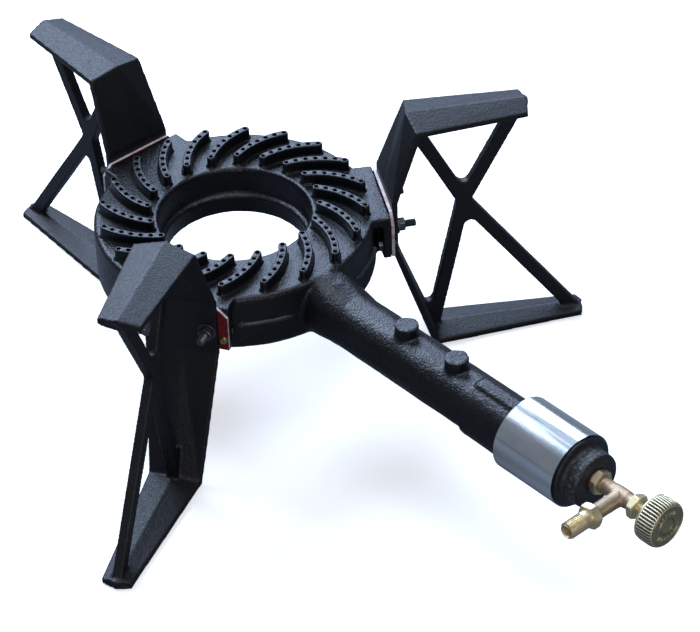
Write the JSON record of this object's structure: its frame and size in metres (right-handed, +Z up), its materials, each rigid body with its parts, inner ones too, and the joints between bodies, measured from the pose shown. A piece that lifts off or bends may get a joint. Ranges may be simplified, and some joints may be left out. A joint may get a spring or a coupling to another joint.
{
  "type": "stock pot burner",
  "caption": "Cast ring gas burner for a stock pot range, with curved port ribs, a mixing tube with an air sleeve, a gas valve with a fluted knob, and bolted cast legs that carry the pot.",
  "frame": {"origin": "on the floor, under the burner ring's axis", "axes": "+Z up, the mixing tube and the knob point along -Y, one leg stands behind the ring at +Y"},
  "size_m": [0.633, 0.9508, 0.2765],
  "materials": {
    "black_iron": "black painted casting",
    "zinc_steel": "zinc plated",
    "dark_steel": "dulled zinc",
    "brass": "machined",
    "cast_brass": "as forged",
    "gasket_board": "red fibre board",
    "fibre": "fibre sealing washer",
    "rubber": "matte",
    "packing": "graphite-free cord packing"
  },
  "bodies": {
    "burner": {"burner_casting": "black_iron", "back_leg": "black_iron", "right_leg": "black_iron", "left_leg": "black_iron", "back_gasket": "gasket_board", "right_gasket": "gasket_board", "left_gasket": "gasket_board", "leg_studs": "dark_steel", "leg_washers": "dark_steel", "leg_nuts": "dark_steel", "gasket_screws": "zinc_steel", "gasket_screw_nuts": "zinc_steel", "adapter_washer": "fibre", "outlet_adapter": "brass", "jet_nozzle": "brass", "valve_body": "cast_brass", "inlet_washer": "fibre", "inlet_adapter": "brass", "packing_washer": "brass", "gland_packing": "packing", "gland_nut": "brass"},
    "sleeve": {"air_sleeve": "zinc_steel"},
    "plug": {"seat_washer": "rubber", "seat_plug": "brass"},
    "spindle": {"valve_stem": "zinc_steel", "knob": "brass", "knob_screw": "zinc_steel", "knob_cap": "brass"}
  },
  "joints": [
    {"name": "air_slide", "type": "slide", "parent": "burner", "child": "sleeve", "axis": [0, 1, 0], "range_m": [0, 0.045]},
    {"name": "valve_lift", "type": "slide", "parent": "burner", "child": "plug", "axis": [0, -1, 0], "range_m": [0, 0.00187]},
    {"name": "knob_turn", "type": "hinge", "parent": "plug", "child": "spindle", "pos_m": [0, -0.533, 0.1515], "axis": [0, -1, 0], "range_deg": [0, 540]}
  ],
  "couplings": [
    {"joint": "knob_turn", "follows": "valve_lift", "rad_per_m": 5026.5}
  ]
}
